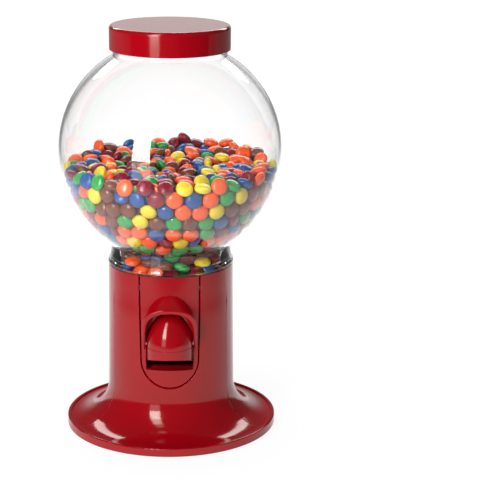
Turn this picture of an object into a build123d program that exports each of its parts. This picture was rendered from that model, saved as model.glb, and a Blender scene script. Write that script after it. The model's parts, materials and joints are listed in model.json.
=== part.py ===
from build123d import *
import math
import os

# Gumball machine: clear globe on a red column with a flared foot, lift-off lid,
# rocker dispensing lever under a hood. Millimetres, Z up, front towards -Y,
# origin at the bottom centre of the feet.

# foot and column
RIM_R = 86.3
RIM_BOTTOM_Z = 1.2
RIM_TOP_Z = 8.0
RIM_STEP_R = 83.5
APRON_PROUD = 0.9
FLARE_R = 30.0
FLARE_CENTRE_R = 81.7
FLARE_CENTRE_Z = 37.1
COLUMN_R_LOW = FLARE_CENTRE_R - FLARE_R
COLUMN_R_TOP = 50.8
COLUMN_TOP_Z = 138.2
WALL = 2.3
EDGE_ROUND = 1.0
APRON_HALF_ANGLE = 62.0
APRON_START_Z = 123.0
APRON_FULL_Z = 96.0
CREASE_ROUND = 0.6
CREASE_SPAN = 1.9
CREASE_DEPTH = 0.9
LEDGE_Z = 122.0
LEDGE_THICK = 3.0
LEDGE_INNER_R = 44.0
LEDGE_BEHIND_PANEL_R = 48.4
HOUSING_LUG_R = (46.9, 48.9)
HOUSING_LUG_Z = (133.2, 135.4)

# globe and its neck rings
GLOBE_R = 90.0
GLOBE_WALL = 2.0
GLOBE_CENTRE_Z = 230.0
SEAL_THICK = 1.0
SEAL_INNER_R = 48.9
COLLAR_R = 51.2
COLLAR_THICK = 1.9
COLLAR_BOTTOM_Z = COLUMN_TOP_Z + SEAL_THICK
NECK_LOW_R = 50.3
NECK_JOIN_R = 48.2
SPIGOT_R = 46.6
SPIGOT_BOTTOM_Z = 130.0
MOUTH_NECK_R = 45.6
MOUTH_NECK_TOP_Z = 328.2
LUG_ANGLES = (90.0, 210.0, 330.0)
LUG_SPAN = 24.0
GLOBE_LUG_R = 48.1
GLOBE_LUG_Z = (131.0, 133.0)
NECK_WAIST = (48.9, 147.5)

# lid
LID_R = 48.2
LID_BOTTOM_Z = 312.0
LID_TOP_Z = 331.4
LID_WALL = 2.2
LINER_THICK = 1.0
LINER_INNER_R = 40.0
LID_CORNER_R = 2.6
LID_EDGE = 0.4

# front panel, its hood and the throat behind it
PANEL_HALF_W_TOP = 23.5
PANEL_ARC_R = 22.5
PANEL_ARC_Z = 69.2
PANEL_GAP = 1.0
PANEL_EDGE_ROUND = 0.5
PANEL_FLANGE = 4.0
FLANGE_THICK = 2.1
FLANGE_FIT = 0.1
FLANGE_TOP_Z = 120.5
THROAT_HALF_W = 19.2
THROAT_WALL = 2.2
THROAT_ARC_Z = 69.0
THROAT_TOP_Z = 113.0
THROAT_CORNER_R = 9.0
THROAT_REAR_Y = -34.0
THROAT_BACK_R = 49.0
SILL_Y = -43.0
SILL_Z = 59.0
LIP_Z = 61.1
LIP_BACK_R = 48.2
LIP_FLOOR_Z = 57.5
TRAY_WALL = 3.0
BRIDGE_R = (46.0, 49.6)
BRIDGE_LOW_Z = 44.0
BRIDGE_INSET = 0.6
BRIDGE_WIDTH = 2.4
HOOD_REAR_Y = -44.0
HOOD_REAR_APEX_Z = 127.8
HOOD_REAR_RISE = 46.0
HOOD_REAR_HALF_W = 21.7
HOOD_FRONT_Y = -67.0
HOOD_FRONT_APEX_Z = 113.8
HOOD_FRONT_RISE = 5.5
HOOD_FRONT_HALF_W = 22.2
HOOD_CHEEK_WALL = 2.8
HOOD_TOP_WALL = 4.4
HOOD_LOW_Z = 66.0
HOOD_RIM_TOP = (-65.2, 115.6)
HOOD_RIM_LOW = (-47.0, 75.0)
HOOD_RIM_ROUND = 1.1

# lever, hinged on the axle
PIVOT_Y = -46.5
PIVOT_Z = 83.0
LEVER_R = 18.6
LEVER_WALL = 2.0
LEVER_SEAM_Z = 81.2
NOSE_HEIGHT = 28.0
NOSE_TOP_R = 13.5
NOSE_RISE = NOSE_HEIGHT - NOSE_TOP_R
NOSE_SIDE_R = (NOSE_RISE ** 2 + LEVER_R ** 2 - NOSE_TOP_R ** 2) / (2 * (LEVER_R - NOSE_TOP_R))
NOSE_LEAN = math.degrees(math.atan2(NOSE_RISE, NOSE_SIDE_R - LEVER_R))
LEVER_LOW_Z = 68.6
LEVER_LOW_SLOPE = 0.2957
LEVER_REAR_Y = -42.0
CAP_REAR_Y = -40.0
LEVER_TURN = 36.0
CAP_SWING_REACH = 15.7
AXLE_R = 2.0
AXLE_FIT = 0.05
AXLE_HALF_L = 20.6
KEEPER_WIDE_Y = -42.9
EAR_IN_X = 13.9
EAR_OUT_X = 15.4
EAR_R = 4.2
SHELF_Z = 76.5
SHELF_THICK = 2.0
SHELF_REAR_Y = -51.5
SEAM_DEPTH = 0.35
SEAM_HALF_H = 0.3
LIP_THICK = 1.6
LIP_RISE = 1.5
LIP_FIT = 0.12
LEVER_LOW_ROUND = 0.5

# rocker with its two gate blades
HUB_R = 4.6
HUB_X = (-13.6, 7.4)
BLADE_THICK = 2.0
LOW_BLADE_ANGLE = -70.0
LOW_BLADE_R = 19.0
LOW_BLADE_HALF_W = 15.6
HIGH_BLADE_ANGLE = 35.0
HIGH_BLADE_R = 31.0
HIGH_BLADE_HALF_W = 16.5
BLADE_NECK_R = 9.0
BLADE_NECK_HALF_W = 13.6
TONGUE_HALF_W = 7.6
TONGUE_FRONT_Y = -59.0
TONGUE_THICK = 2.2

# return spring
SPRING_R = 3.4
WIRE_R = 0.4
SPRING_X = (8.2, 13.0)
SPRING_TURNS = 4.5
SPRING_LEG_Y = -37.0

# hopper and chute
FUNNEL_TOP_R = 42.4
FUNNEL_OUT_R = 17.0
FUNNEL_TOP_Z = 127.0
FUNNEL_OUT_Z = 104.4
FUNNEL_WALL = 1.8
CHUTE_SLOPE = 0.7
CHUTE_HALF_W = 18.2
CHUTE_WALL = 1.8
CHUTE_REAR_Y = 18.0
CHUTE_TOP_Z = 102.4
PLATE_THICK = 2.0
PLATE_HALF_W = 28.0
PLATE_Y = (-15.0, 22.0)
BUMPER_Y = -27.0
BUMPER_R = 2.0
BUMPER_HALF_L = 8.0
STOP_BAR_HALF_Y = 3.0
STOP_BAR_HEIGHT = 4.0

# bottom plate and feet
PLATE_R = 83.6
PLATE_BOTTOM_Z = 2.2
FOOT_R = 7.0
FOOT_HEIGHT = 3.0
FOOT_RING_R = 72.0
FOOT_ANGLES = (0.0, 90.0, 180.0, 270.0)
PLATE_TOP_Z = PLATE_BOTTOM_Z + PLATE_THICK

# candies
CANDY_TOP_Z = 222.0
CANDY_MOUND_Z = 227.0
CANDY_CLEAR = 0.5

# screws
SHAFT_R = 1.45
HOLE_R = 1.5
CLEAR_R = 1.7
HEAD_R = 2.8
HEAD_H = 1.9
CROSS_L = 3.2
CROSS_W = 0.8
BASE_SCREW_RING_R = 58.0
BASE_SCREW_ANGLES = (45.0, 135.0, 225.0, 315.0)
BASE_BOSS_R = 4.0
BASE_BOSS_TOP_Z = 22.0
FUNNEL_SCREW_R = 45.1
FUNNEL_SCREW_ANGLES = (45.0, 135.0, 225.0, 315.0)
FUNNEL_BOSS_R = 3.4
FUNNEL_BOSS_Z = 117.2
PANEL_SCREW_X = 33.0
PANEL_SCREW_Z = (62.0, 112.0)
PANEL_EAR_Y = -31.0
PANEL_EAR_X = (22.5, 37.4)
PANEL_EAR_ROOT_X = (22.5, 26.0)
PANEL_EAR_ROOT_Y = -40.0
PANEL_EAR_THICK = 2.4
PANEL_EAR_HALF_H = 4.5
PANEL_BOSS_R = 3.8
GATE_SCREW_X = (-4.4, 4.4)
GATE_SCREW_Y = -56.5
GATE_BOSS_R = 3.1
GATE_BOSS_TOP_Z = 84.0
CHUTE_SCREWS = ((-24.4, -9.0), (24.4, -9.0), (-24.4, 16.0), (24.4, 16.0))
CHUTE_BOSS_R = 3.2
CHUTE_BOSS_H = 6.0
FUNNEL_FLANGE_R = 47.8
FUNNEL_FLANGE_Z = LEDGE_Z + LEDGE_THICK

TINY = 0.01
FAR = 200.0
WIDE = 40.0
FRONT_FAR_Y = -80.0
THROAT_CUT_Y = -60.0
PAST = 5.0


def box(x0, x1, y0, y1, z0, z1):
    """Box between two corners."""
    size = Box(x1 - x0, y1 - y0, z1 - z0)
    return Pos((x0 + x1) / 2, (y0 + y1) / 2, (z0 + z1) / 2) * size


def rod_z(x, y, z0, z1, radius):
    """Upright cylinder."""
    return Pos(x, y, (z0 + z1) / 2) * Cylinder(radius, z1 - z0)


def rod_y(x, z, y0, y1, radius):
    """Cylinder along Y."""
    return Pos(x, (y0 + y1) / 2, z) * Rot(90, 0, 0) * Cylinder(radius, y1 - y0)


def rod_x(y, z, x0, x1, radius):
    """Cylinder along X."""
    return Pos((x0 + x1) / 2, y, z) * Rot(0, 90, 0) * Cylinder(radius, x1 - x0)


def turned(edges, angle=360.0, start=0.0):
    """Solid of revolution about Z from closed edges drawn with X as radius."""
    face = make_face(Plane.XZ * Curve(edges))
    return Rot(0, 0, start) * revolve(face, Axis.Z, angle)


def path(points):
    """Straight edges through points."""
    return [Line(a, b) for a, b in zip(points, points[1:])]


def side_plate(points, x0, x1):
    """Prism along X from a closed outline of (y, z) points."""
    face = make_face(Plane.YZ * Polyline(*points, close=True))
    return Pos(x0, 0, 0) * extrude(face, amount=x1 - x0, dir=(1, 0, 0))


def arc_between(centre, radius, start, end):
    """Arc by angles in degrees about a centre in the drawing plane."""
    return CenterArc(centre, radius, start, end - start)


# ---------------------------------------------------------------- housing

def shell_outline(proud):
    """Outer line of the column and flare, and the height at which the flare ends."""
    plain_top = (COLUMN_R_TOP, COLUMN_TOP_Z)
    foot_join = (COLUMN_R_LOW + proud, FLARE_CENTRE_Z)
    if proud:
        start = (column_r(APRON_START_Z), APRON_START_Z)
        end = (column_r(APRON_FULL_Z) + proud, APRON_FULL_Z)
        middle = ((start[0] + end[0]) / 2, (start[1] + end[1]) / 2)
        along = (COLUMN_R_LOW - COLUMN_R_TOP, FLARE_CENTRE_Z - COLUMN_TOP_Z)
        first = TangentArc(start, middle, tangent=along)
        second = TangentArc(middle, end, tangent=first % 1)
        upper = path([plain_top, start]) + [first, second] + path([end, foot_join])
    else:
        upper = path([plain_top, foot_join])
    flare = FLARE_R - proud
    arc = arc_between((FLARE_CENTRE_R, FLARE_CENTRE_Z), flare, 180, 270)
    return upper + [arc], FLARE_CENTRE_Z - flare


def column_r(z):
    """Radius of the plain column at height z."""
    share = (z - FLARE_CENTRE_Z) / (COLUMN_TOP_Z - FLARE_CENTRE_Z)
    return COLUMN_R_LOW + (COLUMN_R_TOP - COLUMN_R_LOW) * share


def rim_outline(low_z):
    """Rim of the foot, from the flare's end to the bottom of its outer wall."""
    corner_z = RIM_TOP_Z - EDGE_ROUND
    points = [(FLARE_CENTRE_R, low_z), (RIM_STEP_R, low_z)]
    if low_z < RIM_TOP_Z:
        points.append((RIM_STEP_R, RIM_TOP_Z))
    points.append((RIM_R - EDGE_ROUND, RIM_TOP_Z))
    edges = path(points)
    edges.append(arc_between((RIM_R - EDGE_ROUND, corner_z), EDGE_ROUND, 90, 0))
    edges += path([(RIM_R, corner_z), (RIM_R, RIM_BOTTOM_Z)])
    return edges


def inner_outline():
    """Inner line of the wall, from the bottom of the rim up to the column top."""
    inner_flare = FLARE_R + WALL
    low_z = FLARE_CENTRE_Z - inner_flare
    edges = path([
        (RIM_R, RIM_BOTTOM_Z),
        (RIM_R - WALL, RIM_BOTTOM_Z),
        (RIM_R - WALL, low_z),
        (FLARE_CENTRE_R, low_z),
    ])
    edges.append(arc_between((FLARE_CENTRE_R, FLARE_CENTRE_Z), inner_flare, 270, 180))
    edges += path([
        (COLUMN_R_LOW - WALL, FLARE_CENTRE_Z),
        (COLUMN_R_TOP - WALL, COLUMN_TOP_Z),
        (COLUMN_R_TOP, COLUMN_TOP_Z),
    ])
    return edges


def wall_shell(proud, angle=360.0, start=0.0):
    """Wall of column and foot, with its outer face proud by the given amount."""
    outer, low_z = shell_outline(proud)
    return turned(outer + rim_outline(low_z) + inner_outline(), angle, start)


def envelope(proud):
    """Everything inside the outer face, filled to the axis."""
    outer, low_z = shell_outline(proud)
    edges = outer + rim_outline(low_z)
    edges += path([
        (RIM_R, RIM_BOTTOM_Z),
        (0, RIM_BOTTOM_Z),
        (0, COLUMN_TOP_Z),
        (COLUMN_R_TOP, COLUMN_TOP_Z),
    ])
    return turned(edges)


def points_on(edge):
    """Three points along an edge."""
    return [edge @ share for share in (0.1, 0.5, 0.9)]


def axis_distance(point):
    """Distance from the vertical axis."""
    return math.hypot(point.X, point.Y)


def apron():
    """Front sector of the wall, slightly proud, with rounded long edges."""
    sector = wall_shell(APRON_PROUD, 2 * APRON_HALF_ANGLE, -90.0 - APRON_HALF_ANGLE)
    long_edges = []
    for edge in sector.edges():
        middle = edge @ 0.5
        upright = abs((edge @ 0).Z - (edge @ 1).Z) > 5.0
        outer = axis_distance(middle) > COLUMN_R_TOP - TINY and middle.Z > RIM_TOP_Z
        inner_arc = edge.geom_type == GeomType.CIRCLE and edge.radius > FLARE_R
        if upright and outer and not (inner_arc and middle.Z < FLARE_CENTRE_Z):
            long_edges.append(edge)
    return fillet(long_edges, CREASE_ROUND)


def u_outline(grow, top_z):
    """U-shaped prism along Y that outlines the front panel, grown on all sides."""
    half_top = PANEL_HALF_W_TOP + grow
    radius = PANEL_ARC_R + grow
    edges = [
        Line((-radius, PANEL_ARC_Z), (-half_top, top_z)),
        Line((-half_top, top_z), (half_top, top_z)),
        Line((half_top, top_z), (radius, PANEL_ARC_Z)),
        arc_between((0, PANEL_ARC_Z), radius, 0, -180),
    ]
    face = make_face(Plane.XZ * Curve(edges))
    return Pos(0, -30.0, 0) * extrude(face, amount=40.0, dir=(0, -1, 0))


def wall_skin():
    """Whole wall including the proud front sector."""
    return wall_shell(0.0) + apron()


def ring(r0, r1, z0, z1, angle=360.0, start=0.0):
    """Plain ring, or a sector of one."""
    points = [(r0, z0), (r1, z0), (r1, z1), (r0, z1), (r0, z0)]
    return turned(path(points), angle, start)


def crease_grooves():
    """Fine grooves along the outer foot of the proud sector's two long edges."""
    overlap = 0.05
    grooves = []
    for start in (-90 - APRON_HALF_ANGLE - CREASE_SPAN + overlap, -90 + APRON_HALF_ANGLE - overlap):
        sector = ring(COLUMN_R_LOW - WALL, RIM_STEP_R, RIM_TOP_Z, APRON_START_Z, CREASE_SPAN, start)
        grooves.append(sector - envelope(-CREASE_DEPTH))
    return grooves


def polar(radius, degrees):
    """X and Y of a point given by radius and angle."""
    turn = math.radians(degrees)
    return radius * math.cos(turn), radius * math.sin(turn)


def housing():
    """Column and foot in one moulding, with its ledge, bosses and bayonet lugs."""
    body = wall_skin() - u_outline(PANEL_GAP, COLUMN_TOP_Z + PAST)
    body = fillet(groove_edges(body), PANEL_EDGE_ROUND)
    for groove in crease_grooves():
        body -= groove
    inner_at_ledge = column_r(LEDGE_Z) - WALL + 0.5
    ledge = ring(LEDGE_INNER_R, inner_at_ledge, LEDGE_Z, LEDGE_Z + LEDGE_THICK)
    behind_panel = rod_z(0, 0, LEDGE_Z - 1.0, LEDGE_Z + LEDGE_THICK + 1.0, LEDGE_BEHIND_PANEL_R)
    body += ledge - (u_outline(PANEL_GAP, COLUMN_TOP_Z) - behind_panel)
    for angle in LUG_ANGLES:
        body += ring(*HOUSING_LUG_R, *HOUSING_LUG_Z, LUG_SPAN, angle - LUG_SPAN / 2)
    inside = envelope(0.0)
    extras = []
    for angle in FUNNEL_SCREW_ANGLES:
        x, y = polar(FUNNEL_SCREW_R, angle)
        boss = rod_z(x, y, FUNNEL_BOSS_Z, LEDGE_Z + 1.0, FUNNEL_BOSS_R)
        extras.append(boss - rod_z(0, 0, FUNNEL_BOSS_Z - 1, LEDGE_Z + 2.0, LEDGE_INNER_R))
    for angle in BASE_SCREW_ANGLES:
        x, y = polar(BASE_SCREW_RING_R, angle)
        extras.append(rod_z(x, y, PLATE_TOP_Z, BASE_BOSS_TOP_Z, BASE_BOSS_R))
    for sx in (-1, 1):
        for z in PANEL_SCREW_Z:
            extras.append(rod_y(sx * PANEL_SCREW_X, z, PANEL_EAR_Y - 7.0, PANEL_EAR_Y, PANEL_BOSS_R))
    for extra in extras:
        body += extra & inside
    for angle in FUNNEL_SCREW_ANGLES:
        x, y = polar(FUNNEL_SCREW_R, angle)
        body -= rod_z(x, y, FUNNEL_BOSS_Z + 1.2, LEDGE_Z + 5.0, HOLE_R)
    for angle in BASE_SCREW_ANGLES:
        x, y = polar(BASE_SCREW_RING_R, angle)
        body -= rod_z(x, y, PLATE_TOP_Z - 1.0, PLATE_TOP_Z + 9.3, HOLE_R)
    for sx in (-1, 1):
        for z in PANEL_SCREW_Z:
            body -= rod_y(sx * PANEL_SCREW_X, z, PANEL_EAR_Y - 5.8, PANEL_EAR_Y + 1.0, HOLE_R)
    return body


def groove_edges(shape):
    """Outer edges along the U-shaped groove round the front panel."""
    picked = []
    for edge in shape.edges():
        middle = edge @ 0.5
        near = abs(middle.X) < PANEL_HALF_W_TOP + 2.0 and middle.Y < 0
        outer = axis_distance(middle) > COLUMN_R_TOP - 0.4
        level = abs((edge @ 0).Z - (edge @ 1).Z) < TINY
        u_bottom = level and abs(middle.Z - (PANEL_ARC_Z - PANEL_ARC_R)) < 2.0
        if near and outer and (u_bottom or not level):
            picked.append(edge)
    return picked


# ------------------------------------------------------------ front panel

def arch_face(half_w, apex_z, rise, low_z):
    """Upright doorway: flat bottom, straight sides, half-elliptical top."""
    spring_z = apex_z - rise
    edges = [
        Line((-half_w, low_z), (half_w, low_z)),
        Line((half_w, low_z), (half_w, spring_z)),
        EllipticalCenterArc((0, spring_z), half_w, rise, start_angle=0, arc_size=180),
        Line((-half_w, spring_z), (-half_w, low_z)),
    ]
    return make_face(Plane.XZ * Curve(edges))


def hood_form(side_wall, top_wall):
    """Hood narrowing upwards at the panel and wide at the rim, shrunk for its inside."""
    low_z = HOOD_LOW_Z - (10.0 if side_wall else 0.0)
    rear = arch_face(
        HOOD_REAR_HALF_W - side_wall, HOOD_REAR_APEX_Z - top_wall, HOOD_REAR_RISE, low_z
    )
    front = arch_face(
        HOOD_FRONT_HALF_W - side_wall, HOOD_FRONT_APEX_Z - top_wall, HOOD_FRONT_RISE, low_z
    )
    return loft([Pos(0, HOOD_REAR_Y, 0) * rear, Pos(0, HOOD_FRONT_Y, 0) * front], ruled=True)


def hood_cut():
    """Everything in front of the hood's slanting rim."""
    (y1, z1), (y0, z0) = HOOD_RIM_TOP, HOOD_RIM_LOW
    slope = (y1 - y0) / (z1 - z0)
    z_high = z1 + 30.0
    z_low = z0 - 30.0
    points = [
        (y0 + slope * (z_low - z0), z_low),
        (y0 + slope * (z_high - z0), z_high),
        (-FAR, z_high),
        (-FAR, z_low),
    ]
    return side_plate(points, -WIDE, WIDE)


def prism_y(edges, y_rear, y_front):
    """Prism along Y from a closed outline in the upright plane."""
    face = make_face(Plane.XZ * Curve(edges))
    return Pos(0, y_rear, 0) * extrude(face, amount=y_rear - y_front, dir=(0, -1, 0))


def throat_form(wall, y_rear, y_front):
    """Capsule-shaped throat along Y: round bottom, upright sides, rounded top corners."""
    half = THROAT_HALF_W + wall
    corner = THROAT_CORNER_R + wall
    top = THROAT_TOP_Z + wall
    edges = [
        arc_between((0, THROAT_ARC_Z), half, 180, 360),
        Line((half, THROAT_ARC_Z), (half, top - corner)),
        arc_between((half - corner, top - corner), corner, 0, 90),
        Line((half - corner, top), (corner - half, top)),
        arc_between((corner - half, top - corner), corner, 90, 180),
        Line((-half, top - corner), (-half, THROAT_ARC_Z)),
    ]
    return prism_y(edges, y_rear, y_front)


def nose_hole(y_rear, y_front):
    """Opening in the panel's face that the lever's dome fills: round below and above."""
    half = THROAT_HALF_W
    gap = half - LEVER_R
    centre_x = NOSE_SIDE_R - LEVER_R
    side_r = NOSE_SIDE_R + gap
    top_centre = (0, LEVER_SEAM_Z + NOSE_RISE)
    edges = [
        arc_between((0, THROAT_ARC_Z), half, 180, 360),
        Line((half, THROAT_ARC_Z), (half, LEVER_SEAM_Z)),
        arc_between((-centre_x, LEVER_SEAM_Z), side_r, 0, NOSE_LEAN),
        arc_between(top_centre, NOSE_TOP_R + gap, NOSE_LEAN, 180 - NOSE_LEAN),
        arc_between((centre_x, LEVER_SEAM_Z), side_r, 180 - NOSE_LEAN, 180),
        Line((-half, LEVER_SEAM_Z), (-half, THROAT_ARC_Z)),
    ]
    return prism_y(edges, y_rear, y_front)


def above_floor(drop):
    """Space above the floor of the mouth, lowered by drop."""
    points = [
        (-FAR, LIP_FLOOR_Z - drop),
        (-LIP_BACK_R, LIP_FLOOR_Z - drop),
        (SILL_Y, SILL_Z - drop),
        (THROAT_REAR_Y + 20.0, floor_z(THROAT_REAR_Y + 20.0) - drop),
        (THROAT_REAR_Y + 20.0, FAR),
        (-FAR, FAR),
    ]
    return side_plate(points, -WIDE, WIDE)


def hood():
    """Visor over the lever: tapering shell cut along a slanting, rounded rim."""
    shell = hood_form(0.0, 0.0) - hood_cut()
    shell -= hood_form(HOOD_CHEEK_WALL, HOOD_TOP_WALL)
    (y1, z1), (y0, z0) = HOOD_RIM_TOP, HOOD_RIM_LOW
    normal = Vector(0, z1 - z0, y0 - y1).normalized()
    foot = Vector(0, y0, z0)
    rim = []
    for edge in shell.edges():
        off = max(abs((p - foot).dot(normal)) for p in points_on(edge))
        if off < TINY and edge.length > 5.0:
            rim.append(edge)
    return fillet(rim, HOOD_RIM_ROUND)


def front_panel():
    """U-shaped insert with hood, throat walls, slanting tray and screw ears."""
    skin = wall_skin() & u_outline(0.0, COLUMN_TOP_Z + PAST)
    skin = fillet(groove_edges(skin), PANEL_EDGE_ROUND)
    inner_low = COLUMN_R_LOW - WALL - FLANGE_FIT
    inner_top = column_r(FLANGE_TOP_Z) - WALL - FLANGE_FIT
    lining = turned(path([
        (inner_low - FLANGE_THICK, FLARE_CENTRE_Z),
        (inner_low, FLARE_CENTRE_Z),
        (inner_top, FLANGE_TOP_Z),
        (inner_top - FLANGE_THICK, FLANGE_TOP_Z),
        (inner_low - FLANGE_THICK, FLARE_CENTRE_Z),
    ]))
    flange = lining & u_outline(PANEL_FLANGE, FLANGE_TOP_Z)
    bridge = ring(*BRIDGE_R, BRIDGE_LOW_Z, FLANGE_TOP_Z) & u_outline(-BRIDGE_INSET, FLANGE_TOP_Z)
    bridge -= u_outline(-BRIDGE_INSET - BRIDGE_WIDTH, FLANGE_TOP_Z + 1.0)
    inside = envelope(APRON_PROUD)
    tube = throat_form(THROAT_WALL, THROAT_REAR_Y, THROAT_CUT_Y) & inside
    panel = skin + flange + bridge + (hood() - rod_z(0, 0, 0, FAR, COLUMN_R_TOP - 1.0)) + tube
    ear_rear = PANEL_EAR_Y + PANEL_EAR_THICK
    for sx in (-1, 1):
        for z in PANEL_SCREW_Z:
            low, high = z - PANEL_EAR_HALF_H, z + PANEL_EAR_HALF_H
            x0, x1 = sorted(sx * x for x in PANEL_EAR_X)
            panel += box(x0, x1, PANEL_EAR_Y, ear_rear, low, high)
            x0, x1 = sorted(sx * x for x in PANEL_EAR_ROOT_X)
            panel += box(x0, x1, PANEL_EAR_ROOT_Y, ear_rear, low, high)
    past_rear = THROAT_REAR_Y + PAST
    throat = throat_form(0.0, past_rear, THROAT_CUT_Y)
    hole = nose_hole(past_rear, THROAT_CUT_Y)
    panel -= throat & above_floor(0.0) & rod_z(0, 0, 0, LIP_Z, LIP_BACK_R)
    panel -= throat & rod_z(0, 0, LIP_Z - TINY, FAR, THROAT_BACK_R)
    panel -= hole - box(-WIDE, WIDE, FRONT_FAR_Y, 0, 0, LIP_Z)
    kept = rod_z(0, 0, 0, FAR, COLUMN_R_TOP) + box(-WIDE, WIDE, FRONT_FAR_Y, 0, 0, LIP_Z)
    panel -= hood_form(HOOD_CHEEK_WALL, HOOD_TOP_WALL) - kept
    panel -= (throat & rod_z(0, 0, 0, FAR, LIP_BACK_R)) - above_floor(TRAY_WALL)
    seat_r = AXLE_R + AXLE_FIT
    slot_low = PIVOT_Z - seat_r
    slot_high = PIVOT_Z + seat_r
    for sx in (-1, 1):
        x0, x1 = sorted((sx * (THROAT_HALF_W - 1), sx * (AXLE_HALF_L + 0.2)))
        panel -= rod_x(PIVOT_Y, PIVOT_Z, x0, x1, seat_r)
        panel -= box(x0, x1, PIVOT_Y, past_rear, slot_low, slot_high)
        x0, x1 = sorted((sx * (THROAT_HALF_W - 1), sx * (THROAT_HALF_W + THROAT_WALL + 0.2)))
        panel -= box(x0, x1, KEEPER_WIDE_Y - 0.1, past_rear, slot_low, slot_high)
        for z in PANEL_SCREW_Z:
            panel -= rod_y(sx * PANEL_SCREW_X, z, PANEL_EAR_Y - 1, PANEL_EAR_Y + 4, CLEAR_R)
    panel -= rod_x(SPRING_LEG_Y, PIVOT_Z - SPRING_R, 18.0, 20.4, WIRE_R + 0.15)
    return panel


# ------------------------------------------------------------------ lever

def tilt_cut():
    """Everything below the sloping lower edge of the lever."""
    def low_z(y):
        return LEVER_LOW_Z - LEVER_LOW_SLOPE * (y - PIVOT_Y)
    points = [
        (FRONT_FAR_Y, low_z(FRONT_FAR_Y)),
        (-20, low_z(-20)),
        (-20, 20),
        (FRONT_FAR_Y, 20),
    ]
    return side_plate(points, -WIDE, WIDE)


def on_low_rim(edge):
    """True for the long outer edge along the lever's sloping lower rim."""
    for point in points_on(edge):
        low_z = LEVER_LOW_Z - LEVER_LOW_SLOPE * (point.Y - PIVOT_Y)
        off_axis = math.hypot(point.X, point.Y - PIVOT_Y)
        if abs(point.Z - low_z) > TINY or abs(off_axis - LEVER_R) > TINY:
            return False
    return True


def nose(shrink):
    """Tall dome on the seam plane, round in plan, shrunk for its inside."""
    side_arc = arc_between((LEVER_R - NOSE_SIDE_R, LEVER_SEAM_Z), NOSE_SIDE_R - shrink, 0, NOSE_LEAN)
    top_arc = arc_between((0, LEVER_SEAM_Z + NOSE_RISE), NOSE_TOP_R - shrink, NOSE_LEAN, 90)
    edges = [
        Line((0, LEVER_SEAM_Z), (LEVER_R - shrink, LEVER_SEAM_Z)),
        side_arc,
        top_arc,
        Line((0, LEVER_SEAM_Z + NOSE_HEIGHT - shrink), (0, LEVER_SEAM_Z)),
    ]
    return Pos(0, PIVOT_Y, 0) * turned(edges)


def swing_cut():
    """Everything that would reach the stop bar when the lever is fully turned."""
    turned_back = box(-WIDE, WIDE, CAP_SWING_REACH, FAR, -FAR, FAR)
    return Pos(0, PIVOT_Y, PIVOT_Z) * Rot(LEVER_TURN, 0, 0) * turned_back


def lever_cap():
    """Domed upper shell of the lever, open at the back and notched over the axle."""
    cap = nose(0.0) - nose(LEVER_WALL)
    cap -= box(-WIDE, WIDE, CAP_REAR_Y, 0, 0, 140)
    cap -= swing_cut()
    groove = ring(LEVER_R - SEAM_DEPTH, LEVER_R + 1, LEVER_SEAM_Z - 1, LEVER_SEAM_Z + SEAM_HALF_H)
    cap -= Pos(0, PIVOT_Y, 0) * groove
    cap -= box(-WIDE, WIDE, PIVOT_Y - 2.6, PIVOT_Y + 2.6, LEVER_SEAM_Z - 1, PIVOT_Z + 2.6)
    return cap


def lever_body():
    """Lower band of the lever with its shelf, joint lip and axle ears."""
    inner_r = LEVER_R - LEVER_WALL
    here = Pos(0, PIVOT_Y, 0)
    band = here * ring(inner_r, LEVER_R, 55.0, LEVER_SEAM_Z)
    lip_r = inner_r - LIP_FIT - LIP_THICK
    lip = here * ring(lip_r, inner_r - LIP_FIT, SHELF_Z, LEVER_SEAM_Z + LIP_RISE)
    joint = here * ring(lip_r, inner_r + 0.5, SHELF_Z, LEVER_SEAM_Z - 0.6)
    shelf = here * rod_z(0, 0, SHELF_Z, SHELF_Z + SHELF_THICK, inner_r + 0.5)
    shelf -= box(-WIDE, WIDE, SHELF_REAR_Y, 0, 0, 140)
    front = band + lip + joint + shelf
    front -= box(-WIDE, WIDE, LEVER_REAR_Y, 0, 0, 140)
    for sx in (-1, 1):
        x0, x1 = sorted((sx * EAR_IN_X, sx * EAR_OUT_X))
        ear = box(x0, x1, PIVOT_Y - EAR_R, LEVER_REAR_Y, SHELF_Z, PIVOT_Z)
        ear += rod_x(PIVOT_Y, PIVOT_Z, x0, x1, EAR_R)
        front += ear
    front -= tilt_cut()
    low_edges = [e for e in front.edges() if on_low_rim(e)]
    front = fillet(low_edges, LEVER_LOW_ROUND)
    front -= rod_x(PIVOT_Y, PIVOT_Z, -WIDE, WIDE, AXLE_R + AXLE_FIT)
    front -= here * ring(LEVER_R - SEAM_DEPTH, LEVER_R + 1, LEVER_SEAM_Z - SEAM_HALF_H, LEVER_SEAM_Z + 1)
    for x in GATE_SCREW_X:
        front -= rod_z(x, GATE_SCREW_Y, SHELF_Z - 1, SHELF_Z + SHELF_THICK + 1, CLEAR_R)
    return front


def blade(angle, radius, half_w):
    """Flat blade from the hub outwards, narrow near the hub and wide beyond it."""
    half_t = BLADE_THICK / 2
    narrow = box(-BLADE_NECK_HALF_W, HUB_X[1], 0, BLADE_NECK_R + 0.5, -half_t, half_t)
    wide = box(-half_w, half_w, BLADE_NECK_R, radius - half_t, -half_t, half_t)
    tip = rod_x(radius - half_t, 0, -half_w, half_w, half_t)
    return Pos(0, PIVOT_Y, PIVOT_Z) * Rot(angle, 0, 0) * (narrow + wide + tip)


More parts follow.
